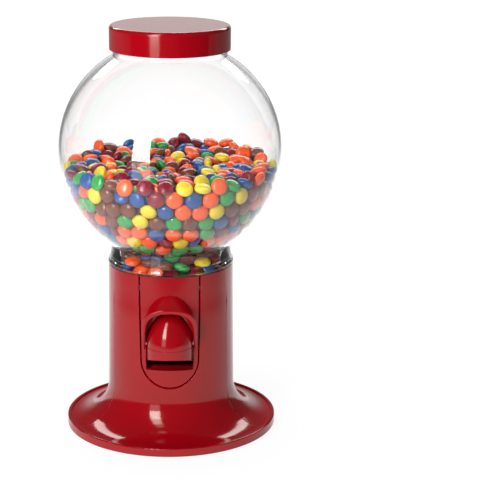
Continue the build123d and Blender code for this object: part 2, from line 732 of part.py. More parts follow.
def portion_gate():
    """Rocker on the axle: low gate blade, high portion blade, tongue under the lever."""
    rocker = rod_x(PIVOT_Y, PIVOT_Z, HUB_X[0], HUB_X[1], HUB_R)
    rocker += blade(LOW_BLADE_ANGLE, LOW_BLADE_R, LOW_BLADE_HALF_W)
    rocker += blade(HIGH_BLADE_ANGLE, HIGH_BLADE_R, HIGH_BLADE_HALF_W)
    tongue_z = SHELF_Z + SHELF_THICK
    rocker += box(-TONGUE_HALF_W, TONGUE_HALF_W, TONGUE_FRONT_Y, PIVOT_Y, tongue_z, tongue_z + TONGUE_THICK)
    for x in GATE_SCREW_X:
        rocker += rod_z(x, GATE_SCREW_Y, tongue_z, GATE_BOSS_TOP_Z, GATE_BOSS_R)
    rocker -= rod_x(PIVOT_Y, PIVOT_Z, -WIDE, WIDE, AXLE_R + AXLE_FIT)
    for x in GATE_SCREW_X:
        rocker -= rod_z(x, GATE_SCREW_Y, tongue_z - 1, GATE_BOSS_TOP_Z - 1.0, HOLE_R)
    return rocker


def lever_axle():
    """Steel pin across the throat, with chamfered ends."""
    pin = rod_x(PIVOT_Y, PIVOT_Z, -AXLE_HALF_L, AXLE_HALF_L, AXLE_R)
    ends = pin.edges().filter_by(GeomType.CIRCLE)
    return chamfer(ends, 0.4)


def axle_keepers():
    """Two plugs that close the axle slots from behind."""
    plugs = []
    half_h = AXLE_R + AXLE_FIT - 0.03
    for sx in (-1, 1):
        x0, x1 = sorted((sx * (THROAT_HALF_W + 0.1), sx * (THROAT_HALF_W + THROAT_WALL - 0.1)))
        front_y = PIVOT_Y + AXLE_R + 0.05
        plug = box(x0, x1, KEEPER_WIDE_Y, THROAT_REAR_Y, PIVOT_Z - half_h, PIVOT_Z + half_h)
        n0, n1 = sorted((sx * (THROAT_HALF_W + 0.1), sx * (AXLE_HALF_L + 0.1)))
        plug += box(n0, n1, front_y, KEEPER_WIDE_Y + 0.1, PIVOT_Z - half_h, PIVOT_Z + half_h)
        plug += box(x0, x1, THROAT_REAR_Y, THROAT_REAR_Y + 1.2, PIVOT_Z - 4.0, PIVOT_Z + 4.0)
        plugs.append(plug)
    return plugs


def lever_spring():
    """Torsion spring on the axle: coil, leg on the lever's shelf, leg hooked in the wall."""
    length = SPRING_X[1] - SPRING_X[0]
    helix = Helix(length / SPRING_TURNS, length, SPRING_R)
    coil_line = Pos(SPRING_X[0], PIVOT_Y, PIVOT_Z) * Rot(0, 90, 0) * helix
    start = coil_line @ 0
    end = coil_line @ 1
    profile = Plane(origin=start, z_dir=coil_line % 0) * Circle(WIRE_R)
    coil = sweep(profile, coil_line)
    tip = Vector(start.X, PIVOT_Y - 12.0, SHELF_Z + SHELF_THICK + WIRE_R + 0.05)
    turn_point = Vector(end.X, SPRING_LEG_Y, PIVOT_Z - SPRING_R)
    hook = Vector(20.2, SPRING_LEG_Y, PIVOT_Z - SPRING_R)
    spring = coil
    for a, b in ((start, tip), (end, turn_point), (turn_point, hook)):
        leg_line = Line(a, b)
        disc = Plane(origin=a, z_dir=leg_line % 0) * Circle(WIRE_R)
        spring += sweep(disc, leg_line)
        spring += Pos(*a) * Sphere(WIRE_R)
    return spring


def lever_bumper():
    """Round rubber strip that the high blade rests against."""
    strip = rod_x(BUMPER_Y, bumper_z(), -BUMPER_HALF_L, BUMPER_HALF_L, BUMPER_R)
    return strip


def bumper_z():
    """Height of the bumper's axis, so that it just meets the blade at rest."""
    lean = math.radians(HIGH_BLADE_ANGLE)
    reach = BUMPER_R + BLADE_THICK / 2 + 0.02
    return PIVOT_Z + (BUMPER_Y - PIVOT_Y) * math.tan(lean) + reach / math.cos(lean)


# -------------------------------------------------------- hopper and chute

def hopper_funnel():
    """Cone from the globe's neck to the chute, with a ledge flange and a square plate."""
    wall_r = FUNNEL_WALL / math.cos(math.radians(50))
    points = [
        (FUNNEL_OUT_R, FUNNEL_OUT_Z),
        (FUNNEL_OUT_R + 4.0, FUNNEL_OUT_Z),
        (FUNNEL_OUT_R + 4.0, FUNNEL_OUT_Z + PLATE_THICK),
        (LEDGE_INNER_R - 0.4, FUNNEL_FLANGE_Z - wall_r * 0.2),
        (LEDGE_INNER_R - 0.4, FUNNEL_FLANGE_Z),
        (FUNNEL_FLANGE_R, FUNNEL_FLANGE_Z),
        (FUNNEL_FLANGE_R, FUNNEL_TOP_Z),
        (FUNNEL_TOP_R, FUNNEL_TOP_Z),
        (FUNNEL_OUT_R, FUNNEL_OUT_Z + PLATE_THICK),
        (FUNNEL_OUT_R, FUNNEL_OUT_Z),
    ]
    funnel = turned(path(points))
    plate = box(-PLATE_HALF_W, PLATE_HALF_W, *PLATE_Y, FUNNEL_OUT_Z, FUNNEL_OUT_Z + PLATE_THICK)
    plate -= rod_z(0, 0, FUNNEL_OUT_Z - 1, FUNNEL_OUT_Z + 9, FUNNEL_OUT_R + 1.0)
    funnel += plate
    for x, y in CHUTE_SCREWS:
        funnel += rod_z(x, y, FUNNEL_OUT_Z, FUNNEL_OUT_Z + CHUTE_BOSS_H, CHUTE_BOSS_R)
    for x, y in CHUTE_SCREWS:
        funnel -= rod_z(x, y, FUNNEL_OUT_Z - 1, FUNNEL_OUT_Z + CHUTE_BOSS_H - 0.8, HOLE_R)
    for angle in FUNNEL_SCREW_ANGLES:
        x, y = polar(FUNNEL_SCREW_R, angle)
        funnel -= rod_z(x, y, FUNNEL_FLANGE_Z - 1, FUNNEL_TOP_Z + 1, CLEAR_R)
    return funnel


def floor_z(y):
    """Height of the chute's floor."""
    return SILL_Z + CHUTE_SLOPE * (y - SILL_Y)


def chute():
    """Sloping channel from the funnel to the mouth, with a top flange and a stop bar."""
    thick = CHUTE_WALL * math.hypot(1.0, CHUTE_SLOPE)
    outer = CHUTE_HALF_W + CHUTE_WALL
    front_y = THROAT_REAR_Y + 1.6
    joint_y = THROAT_REAR_Y + 0.1
    tongue = side_plate(
        [
            (joint_y, floor_z(joint_y)),
            (front_y + 1, floor_z(front_y + 1)),
            (front_y + 1, floor_z(front_y + 1) - thick),
            (joint_y, floor_z(joint_y) - thick),
        ],
        -CHUTE_HALF_W,
        CHUTE_HALF_W,
    )
    outline = [
        (front_y, floor_z(front_y) - thick),
        (CHUTE_REAR_Y, floor_z(CHUTE_REAR_Y) - thick),
        (CHUTE_REAR_Y, CHUTE_TOP_Z),
        (front_y, CHUTE_TOP_Z),
    ]
    trough = side_plate(outline, -outer, outer)
    space = [
        (front_y - 5, floor_z(front_y - 5)),
        (CHUTE_REAR_Y - CHUTE_WALL, floor_z(CHUTE_REAR_Y - CHUTE_WALL)),
        (CHUTE_REAR_Y - CHUTE_WALL, CHUTE_TOP_Z + 9),
        (front_y - 5, CHUTE_TOP_Z + 9),
    ]
    flange_z = FUNNEL_OUT_Z - PLATE_THICK
    body = trough + tongue
    body += box(-PLATE_HALF_W, PLATE_HALF_W, *PLATE_Y, flange_z, FUNNEL_OUT_Z)
    body -= side_plate(space, -CHUTE_HALF_W, CHUTE_HALF_W)
    bar_y = (BUMPER_Y - STOP_BAR_HALF_Y, BUMPER_Y + STOP_BAR_HALF_Y)
    body += box(-outer, outer, *bar_y, bumper_z(), bumper_z() + STOP_BAR_HEIGHT)
    body -= rod_x(BUMPER_Y, bumper_z(), -BUMPER_HALF_L, BUMPER_HALF_L, BUMPER_R)
    for x, y in CHUTE_SCREWS:
        body -= rod_z(x, y, flange_z - 1, FUNNEL_OUT_Z + 1, CLEAR_R)
    return body


# ---------------------------------------------------------- globe and lid

def globe():
    """Clear globe with a collar and spigot below and an open neck above."""
    inner = GLOBE_R - GLOBE_WALL
    low_z = GLOBE_CENTRE_Z - math.sqrt(GLOBE_R ** 2 - NECK_JOIN_R ** 2)
    high_z = GLOBE_CENTRE_Z + math.sqrt(GLOBE_R ** 2 - MOUTH_NECK_R ** 2)
    in_low_r = NECK_JOIN_R - GLOBE_WALL
    in_high_r = MOUTH_NECK_R - GLOBE_WALL
    in_low_z = GLOBE_CENTRE_Z - math.sqrt(inner ** 2 - in_low_r ** 2)
    in_high_z = GLOBE_CENTRE_Z + math.sqrt(inner ** 2 - in_high_r ** 2)
    collar_top = COLLAR_BOTTOM_Z + COLLAR_THICK
    in_spigot = SPIGOT_R - GLOBE_WALL
    edges = path([
        (in_spigot, SPIGOT_BOTTOM_Z),
        (SPIGOT_R, SPIGOT_BOTTOM_Z),
        (SPIGOT_R, COLLAR_BOTTOM_Z),
        (COLLAR_R, COLLAR_BOTTOM_Z),
        (COLLAR_R, collar_top),
        (NECK_LOW_R, collar_top),
    ])
    edges.append(ThreePointArc((NECK_LOW_R, collar_top), NECK_WAIST, (NECK_JOIN_R, low_z)))
    edges.append(ThreePointArc((NECK_JOIN_R, low_z), (GLOBE_R, GLOBE_CENTRE_Z), (MOUTH_NECK_R, high_z)))
    edges += path([
        (MOUTH_NECK_R, high_z),
        (MOUTH_NECK_R, MOUTH_NECK_TOP_Z),
        (in_high_r, MOUTH_NECK_TOP_Z),
        (in_high_r, in_high_z),
    ])
    edges.append(ThreePointArc((in_high_r, in_high_z), (inner, GLOBE_CENTRE_Z), (in_low_r, in_low_z)))
    edges += path([(in_low_r, in_low_z), (in_spigot, collar_top), (in_spigot, SPIGOT_BOTTOM_Z)])
    bowl = turned(edges)
    for angle in LUG_ANGLES:
        bowl += ring(SPIGOT_R - 0.3, GLOBE_LUG_R, *GLOBE_LUG_Z, LUG_SPAN, angle - LUG_SPAN / 2)
    return bowl


def globe_seal():
    """Rubber ring between the globe's collar and the column."""
    return ring(SEAL_INNER_R, COLUMN_R_TOP - 0.5, COLUMN_TOP_Z, COLLAR_BOTTOM_Z)


def lid():
    """Lift-off lid: flat top, plain skirt, rounded upper edge."""
    corner = LID_CORNER_R
    inner = LID_R - LID_WALL
    edges = path([
        (0, LID_TOP_Z - LID_WALL),
        (inner, LID_TOP_Z - LID_WALL),
        (inner, LID_BOTTOM_Z),
        (LID_R - LID_EDGE, LID_BOTTOM_Z),
        (LID_R, LID_BOTTOM_Z + LID_EDGE),
        (LID_R, LID_TOP_Z - corner),
    ])
    edges.append(arc_between((LID_R - corner, LID_TOP_Z - corner), corner, 0, 90))
    edges += path([(LID_R - corner, LID_TOP_Z), (0, LID_TOP_Z), (0, LID_TOP_Z - LID_WALL)])
    return turned(edges)


def lid_liner():
    """Soft ring inside the lid that sits on the globe's mouth."""
    top = LID_TOP_Z - LID_WALL
    return ring(LINER_INNER_R, LID_R - LID_WALL, top - LINER_THICK, top)


def candy_fill():
    """Plain body of the candies in the hopper, neck and globe."""
    inner = GLOBE_R - GLOBE_WALL - CANDY_CLEAR
    neck = SPIGOT_R - GLOBE_WALL - CANDY_CLEAR
    above = math.sqrt(inner ** 2 - (GLOBE_CENTRE_Z - CANDY_TOP_Z) ** 2)
    join_r = NECK_JOIN_R - GLOBE_WALL - CANDY_CLEAR
    join_z = GLOBE_CENTRE_Z - math.sqrt(inner ** 2 - join_r ** 2)
    mid_z = 180.0
    mid_r = math.sqrt(inner ** 2 - (GLOBE_CENTRE_Z - mid_z) ** 2)
    edges = path([
        (0, FUNNEL_OUT_Z + 3.0),
        (FUNNEL_OUT_R - CANDY_CLEAR, FUNNEL_OUT_Z + 3.0),
        (FUNNEL_TOP_R - 1.5, FUNNEL_TOP_Z),
        (FUNNEL_TOP_R - 1.5, FUNNEL_TOP_Z + 2.5),
        (neck, FUNNEL_TOP_Z + 3.5),
        (neck, 142.0),
        (join_r, join_z),
    ])
    edges.append(ThreePointArc((join_r, join_z), (mid_r, mid_z), (above, CANDY_TOP_Z)))
    rise = CANDY_MOUND_Z - CANDY_TOP_Z
    mound_r = (above ** 2 + rise ** 2) / (2 * rise)
    lean = math.degrees(math.asin(above / mound_r))
    edges.append(arc_between((0, CANDY_MOUND_Z - mound_r), mound_r, 90 - lean, 90))
    edges += path([(0, CANDY_MOUND_Z), (0, FUNNEL_OUT_Z + 3.0)])
    return turned(edges)


# ------------------------------------------------------ plate, feet, screws

def base_plate():
    """Round bottom plate with screw holes and shallow foot pockets."""
    plate = rod_z(0, 0, PLATE_BOTTOM_Z, PLATE_TOP_Z, PLATE_R)
    for angle in BASE_SCREW_ANGLES:
        x, y = polar(BASE_SCREW_RING_R, angle)
        plate -= rod_z(x, y, 0, 9, CLEAR_R)
    for angle in FOOT_ANGLES:
        x, y = polar(FOOT_RING_R, angle)
        plate -= rod_z(x, y, 0, FOOT_HEIGHT, FOOT_R)
    return plate


def rubber_feet():
    """Four round pads under the bottom plate."""
    feet = []
    for angle in FOOT_ANGLES:
        x, y = polar(FOOT_RING_R, angle)
        pad = rod_z(x, y, 0, FOOT_HEIGHT, FOOT_R)
        feet.append(chamfer(pad.edges().sort_by(Axis.Z)[:1], 0.6))
    return feet


def screw(length):
    """Cross-head screw, head down at the origin, shaft rising along Z."""
    body = Pos(0, 0, -HEAD_H / 2) * Cylinder(HEAD_R, HEAD_H)
    body = chamfer(body.edges().sort_by(Axis.Z)[:1], 0.6)
    body += rod_z(0, 0, -0.1, length - 1.0, SHAFT_R)
    body += Pos(0, 0, length - 0.5) * Cone(SHAFT_R, 0.5, 1.0)
    slot = Pos(0, 0, -HEAD_H) * (Box(CROSS_L, CROSS_W, 1.8) + Box(CROSS_W, CROSS_L, 1.8))
    return body - slot


def funnel_screws():
    """Four screws down through the funnel's flange into the ledge."""
    made = []
    for angle in FUNNEL_SCREW_ANGLES:
        x, y = polar(FUNNEL_SCREW_R, angle)
        made.append(Pos(x, y, FUNNEL_TOP_Z) * Rot(180, 0, 0) * screw(8.0))
    return made


def chute_screws():
    """Four screws up through the chute's flange into the funnel's plate."""
    z = FUNNEL_OUT_Z - PLATE_THICK
    return [Pos(x, y, z) * screw(6.5) for x, y in CHUTE_SCREWS]


def panel_screws():
    """Four screws from inside through the panel's ears into the housing."""
    made = []
    for sx in (-1, 1):
        for z in PANEL_SCREW_Z:
            at = Pos(sx * PANEL_SCREW_X, PANEL_EAR_Y + PANEL_EAR_THICK, z)
            made.append(at * Rot(90, 0, 0) * screw(7.5))
    return made


def gate_screws():
    """Two screws up through the lever's shelf into the rocker's tongue."""
    return [Pos(x, GATE_SCREW_Y, SHELF_Z) * screw(6.0) for x in GATE_SCREW_X]


def base_screws():
    """Four screws up through the bottom plate into the housing."""
    made = []
    for angle in BASE_SCREW_ANGLES:
        x, y = polar(BASE_SCREW_RING_R, angle)
        made.append(Pos(x, y, PLATE_BOTTOM_Z) * screw(10.0))
    return made


def save(name, shape):
    """Write one node, of one or more separate solids."""
    solids = []
    for piece in shape if isinstance(shape, list) else [shape]:
        solids += list(piece.solids())
    node = solids[0] if len(solids) == 1 else Compound(children=solids)
    node.label = name
    export_step(node, f"parts/{name}.step")
    size = node.bounding_box()
    print(name, len(solids), "solids", round(sum(s.volume for s in solids)), size.min, size.max)


os.makedirs("parts", exist_ok=True)
save("base_housing", housing())
save("front_panel", front_panel())
save("lever_cap", lever_cap())
save("lever_body", lever_body())
save("portion_gate", portion_gate())
save("lever_axle", lever_axle())
save("axle_keepers", axle_keepers())
save("lever_spring", lever_spring())
save("lever_bumper", lever_bumper())
save("hopper_funnel", hopper_funnel())
save("chute", chute())
save("globe", globe())
save("globe_seal", globe_seal())
save("lid", lid())
save("lid_liner", lid_liner())
save("candy_fill", candy_fill())
save("base_plate", base_plate())
save("rubber_feet", rubber_feet())
save("funnel_screws", funnel_screws())
save("chute_screws", chute_screws())
save("panel_screws", panel_screws())
save("gate_screws", gate_screws())
save("base_screws", base_screws())
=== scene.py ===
import json
import math
import random

import bpy
from mathutils import Euler, Matrix, Vector


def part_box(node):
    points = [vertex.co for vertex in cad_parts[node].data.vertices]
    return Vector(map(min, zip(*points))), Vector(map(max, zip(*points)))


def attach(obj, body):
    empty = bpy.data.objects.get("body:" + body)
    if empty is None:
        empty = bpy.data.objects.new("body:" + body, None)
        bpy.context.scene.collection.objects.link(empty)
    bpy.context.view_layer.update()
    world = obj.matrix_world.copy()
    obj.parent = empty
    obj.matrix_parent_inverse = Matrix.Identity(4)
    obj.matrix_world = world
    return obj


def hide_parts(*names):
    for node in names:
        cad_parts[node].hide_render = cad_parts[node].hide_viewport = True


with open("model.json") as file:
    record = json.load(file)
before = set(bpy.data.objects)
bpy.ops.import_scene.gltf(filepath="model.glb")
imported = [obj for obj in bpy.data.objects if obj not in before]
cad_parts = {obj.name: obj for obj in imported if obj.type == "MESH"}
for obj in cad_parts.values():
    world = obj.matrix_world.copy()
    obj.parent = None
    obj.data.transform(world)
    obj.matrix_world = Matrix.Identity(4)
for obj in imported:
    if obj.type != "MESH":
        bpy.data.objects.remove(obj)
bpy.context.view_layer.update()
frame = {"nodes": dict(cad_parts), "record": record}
MM = 0.001
BASE = "base"

# ------------------------------------------------------------------ materials


def srgb(r, g, b):
    """Linear colour from 8-bit sRGB values."""
    def lin(v):
        v /= 255.0
        return v / 12.92 if v <= 0.04045 else ((v + 0.055) / 1.055) ** 2.4
    return (lin(r), lin(g), lin(b), 1.0)


def new_material(name):
    """Empty node material with its principled shader and output."""
    mat = bpy.data.materials.new(name)
    mat.use_nodes = True
    tree = mat.node_tree
    return mat, tree, tree.nodes["Principled BSDF"]


def add(tree, kind, **settings):
    """New node with its settings."""
    node = tree.nodes.new(kind)
    for key, value in settings.items():
        setattr(node, key, value)
    return node


def noise(tree, scale, detail=3.0, rough=0.5):
    """Noise texture on object coordinates."""
    coord = add(tree, "ShaderNodeTexCoord")
    node = add(tree, "ShaderNodeTexNoise")
    node.inputs["Scale"].default_value = scale
    node.inputs["Detail"].default_value = detail
    node.inputs["Roughness"].default_value = rough
    tree.links.new(coord.outputs["Object"], node.inputs["Vector"])
    return node


def spread(tree, source, low, high, start=0.3, end=0.7):
    """Value from low to high over part of the source's range."""
    node = add(tree, "ShaderNodeMapRange")
    node.inputs["From Min"].default_value = start
    node.inputs["From Max"].default_value = end
    node.inputs["To Min"].default_value = low
    node.inputs["To Max"].default_value = high
    tree.links.new(source, node.inputs["Value"])
    return node.outputs["Result"]


def tint(tree, factor, dark, light):
    """Colour between two shades."""
    node = add(tree, "ShaderNodeMix", data_type="RGBA")
    tree.links.new(factor, node.inputs["Factor"])
    colour_out = [o for o in node.outputs if o.type == "RGBA"][0]
    colour_ins = [i for i in node.inputs if i.type == "RGBA"]
    colour_ins[0].default_value = dark
    colour_ins[1].default_value = light
    return colour_out


def shade(colour, k):
    """Colour with its brightness scaled."""
    return (colour[0] * k, colour[1] * k, colour[2] * k, 1.0)


def bump(tree, bsdf, height, strength, distance):
    """Bump from a height value."""
    node = add(tree, "ShaderNodeBump")
    node.inputs["Strength"].default_value = strength
    node.inputs["Distance"].default_value = distance
    tree.links.new(height, node.inputs["Height"])
    tree.links.new(node.outputs["Normal"], bsdf.inputs["Normal"])


WARM_SHEEN = (1.0, 0.95, 0.84, 1.0)
TONE_DRIFT = 0.06
MOULDED_IOR = 1.5
CLEAR_IOR = 1.49


def moulded(name, colour, rough, rough_spread, grain=1400.0, grain_depth=0.00002):
    """Moulded plastic: faint tone drift, handling smudges in the gloss, fine surface ripple."""
    mat, tree, bsdf = new_material(name)
    drift = noise(tree, scale=18.0, detail=4.0)
    darker = shade(colour, 1.0 - TONE_DRIFT)
    lighter = shade(colour, 1.0 + TONE_DRIFT)
    colour_out = tint(tree, drift.outputs["Fac"], darker, lighter)
    tree.links.new(colour_out, bsdf.inputs["Base Color"])
    smudge = noise(tree, scale=42.0, detail=6.0, rough=0.62)
    gloss = spread(tree, smudge.outputs["Fac"], rough, rough + rough_spread, start=0.42, end=0.72)
    tree.links.new(gloss, bsdf.inputs["Roughness"])
    ripple = noise(tree, scale=grain, detail=2.0)
    bump(tree, bsdf, ripple.outputs["Fac"], strength=0.35, distance=grain_depth)
    bsdf.inputs["IOR"].default_value = MOULDED_IOR
    bsdf.inputs["Specular Tint"].default_value = WARM_SHEEN
    return mat


def metal(name, colour, rough):
    """Plated steel with a fine grain."""
    mat, tree, bsdf = new_material(name)
    grain = noise(tree, scale=2600.0, detail=3.0)
    colour_out = tint(tree, grain.outputs["Fac"], shade(colour, 0.86), shade(colour, 1.06))
    tree.links.new(colour_out, bsdf.inputs["Base Color"])
    bsdf.inputs["Metallic"].default_value = 1.0
    gloss = spread(tree, grain.outputs["Fac"], rough - 0.06, rough + 0.08)
    tree.links.new(gloss, bsdf.inputs["Roughness"])
    bump(tree, bsdf, grain.outputs["Fac"], strength=0.2, distance=0.00003)
    return mat


def clear_plastic():
    """Polished clear plastic with painted shade that greys it edge on, faint dust and ripple; lamps
    shine through.
    """
    mat, tree, bsdf = new_material("clear_plastic")
    # Painted shade: the base colour turns grey where the surface is seen edge on, standing in for the
    # darker rim of the globe.
    facing = add(tree, "ShaderNodeLayerWeight")
    facing.inputs["Blend"].default_value = 0.5
    edge = spread(tree, facing.outputs["Facing"], 0.0, 1.0, start=0.72, end=1.0)
    colour_out = tint(tree, edge, (0.99, 0.99, 0.99, 1.0), (0.62, 0.63, 0.64, 1.0))
    tree.links.new(colour_out, bsdf.inputs["Base Color"])
    bsdf.inputs["Transmission Weight"].default_value = 1.0
    bsdf.inputs["IOR"].default_value = CLEAR_IOR
    dust = noise(tree, scale=60.0, detail=8.0, rough=0.7)
    gloss = spread(tree, dust.outputs["Fac"], 0.0, 0.05, start=0.55, end=0.85)
    tree.links.new(gloss, bsdf.inputs["Roughness"])
    ripple = noise(tree, scale=14.0, detail=1.0)
    bump(tree, bsdf, ripple.outputs["Fac"], strength=0.1, distance=0.0004)
    clear = add(tree, "ShaderNodeBsdfTransparent")
    clear.inputs["Color"].default_value = (0.95, 0.955, 0.955, 1.0)
    path = add(tree, "ShaderNodeLightPath")
    mix = add(tree, "ShaderNodeMixShader")
    out = tree.nodes["Material Output"]
    tree.links.new(path.outputs["Is Shadow Ray"], mix.inputs["Fac"])
    tree.links.new(bsdf.outputs["BSDF"], mix.inputs[1])
    tree.links.new(clear.outputs["BSDF"], mix.inputs[2])
    tree.links.new(mix.outputs["Shader"], out.inputs["Surface"])
    return mat


def candy_shell(name, colour):
    """Sugar shell: mottled colour, pale scuffs, soft wax gloss."""
    mat, tree, bsdf = new_material(name)
    mottle = noise(tree, scale=420.0, detail=4.0, rough=0.6)
    body = tint(tree, mottle.outputs["Fac"], shade(colour, 0.84), shade(colour, 1.10))
    scuff = noise(tree, scale=900.0, detail=6.0, rough=0.7)
    mask = spread(tree, scuff.outputs["Fac"], 0.0, 0.35, start=0.64, end=0.82)
    pale = add(tree, "ShaderNodeMix", data_type="RGBA")
    colours = [i for i in pale.inputs if i.type == "RGBA"]
    colours[1].default_value = (0.8, 0.76, 0.7, 1.0)
    tree.links.new(mask, pale.inputs["Factor"])
    tree.links.new(body, colours[0])
    scuffed = [o for o in pale.outputs if o.type == "RGBA"][0]
    tree.links.new(scuffed, bsdf.inputs["Base Color"])
    tree.links.new(spread(tree, mottle.outputs["Fac"], 0.16, 0.30), bsdf.inputs["Roughness"])
    bump(tree, bsdf, scuff.outputs["Fac"], strength=0.25, distance=0.00008)
    bsdf.inputs["Coat Weight"].default_value = 0.25
    bsdf.inputs["Coat Roughness"].default_value = 0.12
    return mat


RED = srgb(168, 3, 20)
BLACK = (0.022, 0.022, 0.024, 1)
MILKY = (0.72, 0.71, 0.68, 1)
CREAM = (0.62, 0.60, 0.55, 1)
CHARCOAL = (0.028, 0.028, 0.031, 1)
BRIGHT_ZINC = (0.68, 0.69, 0.71, 1)
BARE_STEEL = (0.50, 0.51, 0.53, 1)
MATERIALS = {
    "red_plastic": moulded("red_plastic", RED, rough=0.09, rough_spread=0.04),
    "clear_plastic": clear_plastic(),
    "black_rubber": moulded("black_rubber", BLACK, 0.55, 0.15, grain=2200.0, grain_depth=0.00006),
    "white_silicone": moulded("white_silicone", MILKY, 0.45, 0.1, grain=1800.0, grain_depth=0.00003),
    "inner_plastic": moulded("inner_plastic", CREAM, 0.38, 0.1, grain=1600.0, grain_depth=0.00004),
    "dark_plastic": moulded("dark_plastic", CHARCOAL, 0.36, 0.12, grain=1600.0, grain_depth=0.00004),
    "zinc_steel": metal("zinc_steel", BRIGHT_ZINC, rough=0.28),
    "spring_steel": metal("spring_steel", BARE_STEEL, rough=0.32),
}
SLOTS = {s["node"]: s["material_slot"] for s in frame["record"]["subparts"]}

for node, obj in frame["nodes"].items():
    slot = SLOTS[node]
    if slot == "candy":
        continue
    obj.data.materials.clear()
    obj.data.materials.append(MATERIALS[slot])

# --------------------------------------------------------------------- candies

CANDY_R = 6.75 * MM
CANDY_HALF_T = 3.55 * MM
CANDY_FULLNESS = 0.86
CANDY_SMALLEST = 0.965
CANDY_COUNT = 1350
CANDY_COLOURS = {
    "maroon": srgb(124, 18, 38),
    "orange": srgb(236, 90, 34),
    "yellow": srgb(226, 200, 42),
    "green": srgb(44, 148, 70),
    "blue": srgb(34, 78, 138),
    "brown": srgb(108, 56, 38),
}
CANDY_SHARE = {"maroon": 17, "orange": 22, "yellow": 14, "green": 11, "blue": 22, "brown": 14}
PLACE_SEED = 20407
COLOUR_SEED = 11

# Inside of the globe, the neck and the hopper.
GLOBE_CENTRE_Z = 0.230
GLOBE_WALL = 2.4 * MM
GLOBE_MOUTH_SHARE = 0.86
HOPPER_LOW_R = 0.0165
HOPPER_LOW_Z = 0.1076
HOPPER_FLARE = 1.27
HOPPER_TOP = (0.0415, 0.1272)
NECK_R = 0.0438
NECK_LOW_Z = 0.131
NECK_TOP_Z = 0.142
NECK_JOIN_R = 0.0457
NECK_ZONE_Z = 0.150

# Loose starting places, from which the candies settle.
START_PITCH = 13.9 * MM
START_RISE = 8.6 * MM
START_NECK_RISE = 8.2 * MM
START_NECK_GAP = 7.4 * MM
START_GLASS_GAP = 5.2 * MM
START_LOW_Z = 0.1125
START_GLOBE_Z = (0.156, 0.305)
START_LEAN = math.radians(24.0)
START_ROW_SHARE = 0.9

# Which settled candies count as inside, and the simulation itself.
SETTLED_TOP_Z = 0.300
SETTLED_SLACK = 0.6 * MM
SIM_SCALE = 50.0
SIM_FRAMES = 50
SIM_SUBSTEPS = 8
SIM_GRAVITY = -60.0
SIM_MARGIN = 0.004
EARTH_GRAVITY = -9.81


def lentil(radius, half_t, around, up):
    """Points and faces of a round lentil with a slightly full edge, about Z."""
    points = [(0.0, 0.0, half_t)]
    for i in range(1, up):
        angle = math.pi * i / up
        s = abs(math.sin(angle)) ** CANDY_FULLNESS
        c = math.cos(angle)
        for k in range(around):
            turn = math.tau * k / around
            points.append((radius * s * math.cos(turn), radius * s * math.sin(turn), half_t * c))
    points.append((0.0, 0.0, -half_t))
    last = len(points) - 1
    faces = []
    for k in range(around):
        faces.append((0, 1 + k, 1 + (k + 1) % around))
    for i in range(up - 2):
        a = 1 + i * around
        b = a + around
        for k in range(around):
            n = (k + 1) % around
            faces.append((a + k, b + k, b + n, a + n))
    a = 1 + (up - 2) * around
    for k in range(around):
        faces.append((a + (k + 1) % around, a + k, last))
    return points, faces


def globe_inner_r():
    """Inner radius of the globe."""
    low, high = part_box("globe")
    return (high.x - low.x) / 2 - GLOBE_WALL


def hopper_r(z):
    """Inner radius of the hopper or the neck at height z."""
    return min(NECK_R, HOPPER_LOW_R + (z - HOPPER_LOW_Z) * HOPPER_FLARE)


def container_profile():
    """Inner outline of hopper, neck and globe as (radius, height) in metres."""
    globe_r = globe_inner_r()
    profile = [
        (0.0, HOPPER_LOW_Z),
        (HOPPER_LOW_R, HOPPER_LOW_Z),
        HOPPER_TOP,
        (NECK_R, NECK_LOW_Z),
        (NECK_R, NECK_TOP_Z),
    ]
    start = math.asin(NECK_JOIN_R / globe_r)
    steps = 26
    for i in range(steps + 1):
        angle = start + (math.pi * GLOBE_MOUTH_SHARE - start) * i / steps
        profile.append((globe_r * math.sin(angle), GLOBE_CENTRE_Z - globe_r * math.cos(angle)))
    return profile


def neck_starts(rng, pitch, rise):
    """Flat layers of candies in the hopper and the neck, as (place, normal)."""
    starts = []
    z = START_LOW_Z
    while z < NECK_ZONE_Z:
        reach = hopper_r(z) - START_NECK_GAP
        rings = int(reach / pitch)
        for ring in range(rings + 1):
            r = reach - ring * pitch
            n = max(1, int(math.tau * r / pitch))
            turn = rng.uniform(0, math.tau)
            for k in range(n):
                a = turn + math.tau * k / n
                starts.append((Vector((r * math.cos(a), r * math.sin(a), z)), Vector((0, 0, 1))))
        z += rise
    return starts


def globe_starts(rng, pitch, rise):
    """Shells of candies that face the glass, from the wall inwards, as (place, normal)."""
    starts = []
    shell = globe_inner_r() - START_GLASS_GAP
    low, high = START_GLOBE_Z
    while shell > pitch:
        rows = int(math.pi * shell / (pitch * START_ROW_SHARE))
        for row in range(rows + 1):
            polar = math.pi * row / rows
            r = shell * math.sin(polar)
            z = GLOBE_CENTRE_Z - shell * math.cos(polar)
            if z < low or z > high:
                continue
            n = max(1, int(math.tau * r / pitch))
            turn = rng.uniform(0, math.tau)
            for k in range(n):
                a = turn + math.tau * k / n
                across = math.sin(polar)
                normal = Vector((across * math.cos(a), across * math.sin(a), -math.cos(polar)))
                starts.append((normal * shell + Vector((0, 0, GLOBE_CENTRE_Z)), normal))
        shell -= rise
    return starts


def candy_starts():
    """Loose starting places of the candies, lowest first, each with its turn."""
    rng = random.Random(PLACE_SEED)
    starts = neck_starts(rng, START_PITCH, START_NECK_RISE)
    starts += globe_starts(rng, START_PITCH, START_RISE)
    starts.sort(key=lambda start: start[0].z)
    lean = START_LEAN
    places = []
    for at, normal in starts[:CANDY_COUNT]:
        turn = normal.to_track_quat("Z", "Y").to_matrix()
        tilt = Euler((rng.uniform(-lean, lean), rng.uniform(-lean, lean), rng.uniform(0, math.tau)))
        places.append((at, turn @ tilt.to_matrix()))
    return places


